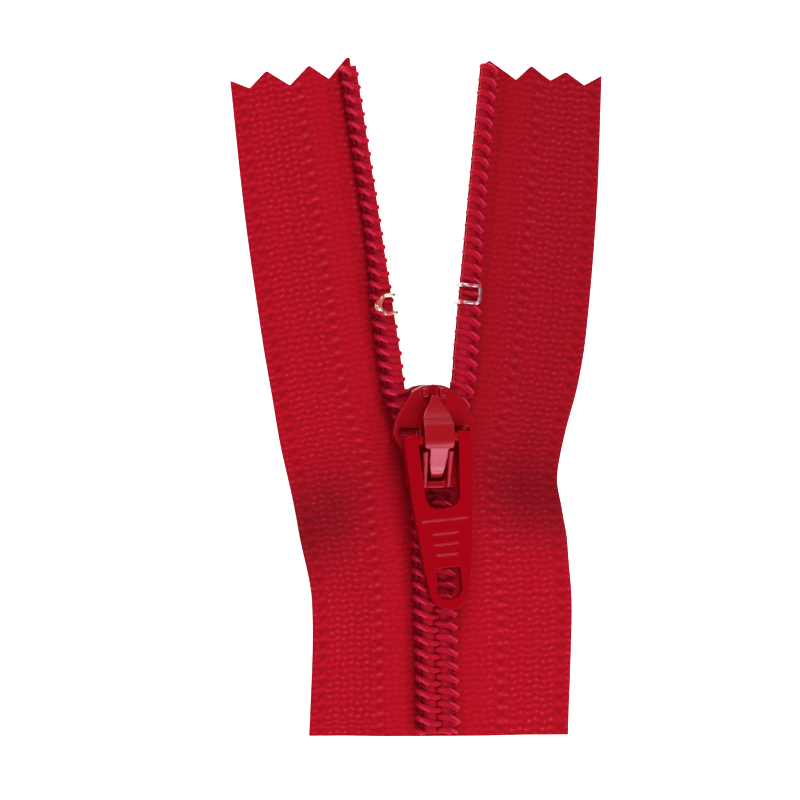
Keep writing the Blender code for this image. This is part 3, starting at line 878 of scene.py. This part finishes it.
def dipped(name, solids, cuts, placing, finish, rounds, voxel=VOXEL):
    """Joins solids, cuts holes and rounds everything, as a thick coat of enamel does.

    placing moves the shape's millimetres to chain millimetres.
    """
    made = gathered(name, solids)
    remesh(made, "Join", voxel)
    for tool in cuts:
        cut = made.modifiers.new("Hole", "BOOLEAN")
        cut.operation = "DIFFERENCE"
        cut.solver = "EXACT"
        cut.object = tool
    if cuts:
        remesh(made, "Even out", voxel)
    soften = made.modifiers.new("Round", "SMOOTH")
    soften.factor = 0.5
    soften.iterations = rounds
    bpy.context.view_layer.update()
    shaped = bpy.data.meshes.new_from_object(made.evaluated_get(bpy.context.evaluated_depsgraph_get()))
    for used in (made, *cuts):
        bpy.data.objects.remove(used)
    shaped.transform(Matrix.Scale(MM, 4) @ Matrix.Translation(-Vector(ROW_ORIGIN)) @ placing)
    shaped.name = name
    shaped.shade_smooth()
    shaped.materials.clear()
    shaped.materials.append(finish)
    return linked(name, shaped)


def rail(sign):
    """A side rail whose top slopes down and whose outer side runs in to the rear."""
    made = block("rail", on_side(sign, *RAIL_X), RAIL_Y, (UPPER_PLATE[1] - LAP, RAIL_TOPS[1]))
    for corner in made.data.vertices:
        if corner.co.y < sum(RAIL_Y) / 2:
            corner.co.z = min(corner.co.z, RAIL_TOPS[0])
            if abs(corner.co.x) > sum(RAIL_X) / 2:
                corner.co.x -= sign * RAIL_TAPER
    return made


def bridge():
    """The low wall between the rails' rear ends."""
    half = RAIL_X[1] - BRIDGE_INSET
    ys = (RAIL_Y[0], RAIL_Y[0] + BRIDGE_DEPTH)
    return block("bridge", (-half, half), ys, (UPPER_PLATE[1] - LAP, RAIL_TOPS[0] - BRIDGE_INSET))


def build_slider(finish):
    plate = mirrored(PLATE_OUTLINE)
    parts = [prism("upper", plate, *UPPER_PLATE), prism("lower", plate, *LOWER_PLATE)]
    parts.append(prism("neck", mirrored(NECK), LOWER_PLATE[1] - LAP, UPPER_PLATE[0] + LAP))
    cuts = [block("pawl hole", *PAWL_HOLE)]
    for sign in SIDES.values():
        outline = [(sign * x, y) for x, y in FLANGE_INNER + FLANGE_OUTER]
        parts.append(prism("flange", outline, FLANGE_BOTTOM, UPPER_PLATE[0] + LAP))
        parts.append(rail(sign))
        cheek = on_side(sign, SLOT_HALF_WIDTH, POST_HALF_WIDTH)
        parts.append(block("cheek", cheek, (POST_REAR, POST_FRONT), (UPPER_PLATE[1] - LAP, POST_TOP)))
        cuts.append(block("fork seat", on_side(sign, *SEAT_X), SEAT_Y, SEAT_Z))
    parts.append(bridge())
    placing = Matrix.Translation((0, SLIDER_Y, 0))
    return dipped("slider_casting", parts, cuts, placing, finish, SLIDER_ROUNDS)


def build_spring(finish):
    knots = [(y, z, half) for (y, z), half in zip(SPRING_LINE, SPRING_HALF_WIDTHS)]
    curve = catmull_rom([knots[0]] + knots + [knots[-1]], SPRING_STEPS)
    leaf = strip_solid("leaf", curve[:, :2], curve[:, 2], SPRING_THICKNESS)
    placing = Matrix.Translation((0, SLIDER_Y, 0))
    return dipped("spring_leaf", [leaf], [], placing, finish, SPRING_ROUNDS, SPRING_VOXEL)


def tab_outline():
    """The tab's outline round its rounded tip, up the other fork and back round the window."""
    half_width, tip_start = TAB_TIP
    depth = TAB_LENGTH + tip_start
    turns = np.radians(np.linspace(0.0, 90.0, TIP_POINTS))
    tip = [(half_width * math.cos(t), tip_start - depth * math.sin(t)) for t in turns]
    edge = list(TAB_OUTLINE) + tip
    around = edge + [(-x, y) for x, y in reversed(edge[:-1])]
    return around + [(-x, y) for x, y in WINDOW] + list(reversed(WINDOW[:-1]))


def crossbar():
    turns = np.radians(np.arange(BAR_SIDES) * (360.0 / BAR_SIDES))
    ring = [(BAR_RADIUS * math.cos(t), BAR_RADIUS * math.sin(t)) for t in turns]
    bar = prism("bar", ring, -0.5 * BAR_LENGTH, 0.5 * BAR_LENGTH)
    bar.data.transform(Matrix.Rotation(math.radians(90.0), 4, "Y"))
    return bar


def build_tab(finish):
    half = 0.5 * TAB_THICKNESS
    parts = [prism("tab", tab_outline(), -half, half), crossbar()]
    for reach, y, width in RIBS:
        parts.append(block("rib", (-reach, reach), (y - width, y + width), (0.0, half + RIB_HEIGHT)))
    cut = prism("lower hole", mirrored(LOWER_HOLE), -TAB_THICKNESS, TAB_THICKNESS)
    placing = (
        Matrix.Translation((0, SLIDER_Y + BAR_Y, BAR_HEIGHT))
        @ Matrix.Rotation(TAB_SKEW, 4, "Z")
        @ Matrix.Rotation(TAB_SLOPE, 4, "X")
    )
    return dipped("tab_casting", parts, [cut], placing, finish, TAB_ROUNDS)


# ---------------------------------------------------------------- top stops

# Each clip: where it starts and ends along the coil, its metal's colour and how much is painted
STOPS = {
    "left": (40.7, 42.4, (0.70, 0.50, 0.34), 0.42),
    "right": (41.55, 43.2, (0.40, 0.26, 0.30), 0.44),
}
# A prong from under the coil, round its inner edge and onto its top: (out, height)
PRONG = ((-0.3, 1.1), (-0.95, 1.1), (-1.16, 1.35), (-1.18, 3.0), (-1.0, 3.32), (-0.2, 3.36))
# How each clip's outer side runs from one prong to the other: (out, share of the way, height)
STOP_BACKS = {
    "left": ((0.1, 0.12, 3.38), (0.62, 0.5, 3.40), (0.1, 0.88, 3.38)),
    "right": ((0.35, 0.02, 3.38), (0.5, 0.2, 3.38), (0.5, 0.8, 3.38), (0.35, 0.98, 3.38)),
}
STOP_WIRE = 0.2
STOP_SWELL = {"left": 0.7, "right": 0.0}  # how much thicker the outer side is
SWELL_STARTS = (0.2, 0.6)
STOP_SIDES = 12
STOP_STEPS = 6


def build_stop(side):
    """A bent wire clip: two prongs wrapped round the coil's inner edge, joined on the outer side."""
    low, high, metal, paint_share = STOPS[side]
    route = [(out, low, height) for out, height in PRONG]
    route += [(out, low + share * (high - low), height) for out, share, height in STOP_BACKS[side]]
    route += [(out, high, height) for out, height in reversed(PRONG)]
    route = catmull_rom([route[0]] + route + [route[-1]], STOP_STEPS)
    x, y = bent(side, route[:, 0], route[:, 1])
    radius = STOP_WIRE * (1.0 + STOP_SWELL[side] * eased(route[:, 0], *SWELL_STARTS))
    rings = tube_rings(np.stack([x, y, route[:, 2]], axis=1), radius, STOP_SIDES)
    points = to_row(rings[..., 0], rings[..., 1], rings[..., 2])
    finish = stop_finish(f"{side} stop metal", metal, paint_share)
    made = new_piece(f"{side}_stop_clip", points, tube_faces(len(rings), STOP_SIDES), finish)
    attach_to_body(made, f"{side}_arm")
    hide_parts(f"{side}_top_stop")


# ---------------------------------------------------------------- camera, light and table

TARGET = Vector((-2.395, 0.059, 0.0)) * MM  # where the camera looks, in the row's frame
LEAN = math.radians(1.75)  # the chain leans to the left in the view
SIDE_TILT = math.radians(15.0)  # the view is from slightly left of straight above
LENS = 200.0
SENSOR = 36.0
FRAME_WIDTH = 76.19 * MM  # of the view, at the table
CLIP = (0.01, 10.0)  # nearest and farthest distances seen, in m

STRIP_TINT = (1.0, 0.8, 0.9)
# Name, direction from the target, distance and size in metres, power in watts and colour
LIGHTS = (
    ("key", (-0.03, 1.0, 0.85), 0.6, (0.20, 0.20), 2.45, WHITE),
    ("overhead", (-0.5, 0.2, 1.0), 0.6, (0.45, 0.45), 1.2, WHITE),
    ("tongue strip", (0.26, -0.78, 0.57), 0.5, (0.22, 0.05), 1.4, STRIP_TINT),
    ("rail strip", (0.26, -0.60, 0.76), 0.5, (0.42, 0.06), 1.1, STRIP_TINT),
)
WORLD_STRENGTH = 0.27

TABLE_REACH = 1.5
TABLE_Z = -0.05 * MM  # just under the zipper, so that no faces coincide
TABLE_COLOUR = (0.95, 0.95, 0.95, 1.0)
TABLE_GLOW = 1.3


def add_camera():
    level = Vector((math.cos(LEAN), -math.sin(LEAN), 0.0))
    up = Vector((math.sin(LEAN), math.cos(LEAN), 0.0))
    back = -level * math.sin(SIDE_TILT) + Vector((0.0, 0.0, 1.0)) * math.cos(SIDE_TILT)
    right = up.cross(back)
    data = bpy.data.cameras.new("camera")
    data.lens = LENS
    data.sensor_width = SENSOR
    data.clip_start, data.clip_end = CLIP
    made = linked("camera", data)
    turn = Matrix((right, up, back)).transposed().to_4x4()
    distance = FRAME_WIDTH * LENS / SENSOR
    made.matrix_world = Matrix.Translation(TARGET + back * distance) @ turn
    bpy.context.scene.camera = made


def area_light(name, direction, distance, size, energy, colour):
    direction = Vector(direction).normalized()
    data = bpy.data.lights.new(name, "AREA")
    data.shape = "RECTANGLE"
    data.size, data.size_y = size
    data.energy = energy
    data.color = colour
    made = linked(name, data)
    made.location = TARGET + direction * distance
    made.rotation_euler = direction.to_track_quat("Z", "Y").to_euler()


def add_light():
    for light in LIGHTS:
        area_light(*light)
    world = bpy.data.worlds.new("studio")
    world.use_nodes = True
    shade = world.node_tree.nodes["Background"]
    shade.inputs["Color"].default_value = (*WHITE, 1.0)
    shade.inputs["Strength"].default_value = WORLD_STRENGTH
    bpy.context.scene.world = world


def add_table():
    data = bpy.data.meshes.new("table")
    signs = ((-1, -1), (1, -1), (1, 1), (-1, 1))
    corners = [(x * TABLE_REACH, y * TABLE_REACH, TABLE_Z) for x, y in signs]
    data.from_pydata(corners, [], [(0, 1, 2, 3)])
    finish, _, shader = shader_tree("white table", 0.9, Specular_IOR_Level=0.0)
    shader.inputs["Base Color"].default_value = TABLE_COLOUR
    shader.inputs["Emission Color"].default_value = (*WHITE, 1.0)
    shader.inputs["Emission Strength"].default_value = TABLE_GLOW
    data.materials.append(finish)
    linked("table", data)


def build_side(side, tape, coil, thread):
    """One stringer with its top stop."""
    for strip in STRIPS:
        piece = build_tape(side, strip, tape)
        attach(piece, side, strip, "tape")
    for kind, route, flatness, finish, slot in (
        ("coil", coil_route(side), 1.0, coil, "coil"),
        ("stitching", stitch_route(side), 1.0, thread, "thread"),
        ("cord", cord_route(side), CORD_FLATNESS, coil, "cord"),
    ):
        for piece, strip in zip(build_tubes(side, kind, route, finish, flatness), STRIPS):
            attach(piece, side, strip, kind)
    build_stop(side)


def main():
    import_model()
    bpy.context.scene.view_settings.view_transform = "Standard"
    finishes = tape_finish(), coil_finish(), thread_finish()
    for side in SIDES:
        build_side(side, *finishes)
    for build, body, node, enamel in (
        (build_slider, "slider", "slider_body", "slider"),
        (build_spring, "lock", "locking_spring", "spring"),
        (build_tab, "pull", "pull_tab", "tab"),
    ):
        piece = build(enamel_finish(*ENAMELS[enamel]))
        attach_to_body(piece, body)
        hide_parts(node)
    add_camera()
    add_light()
    add_table()


main()
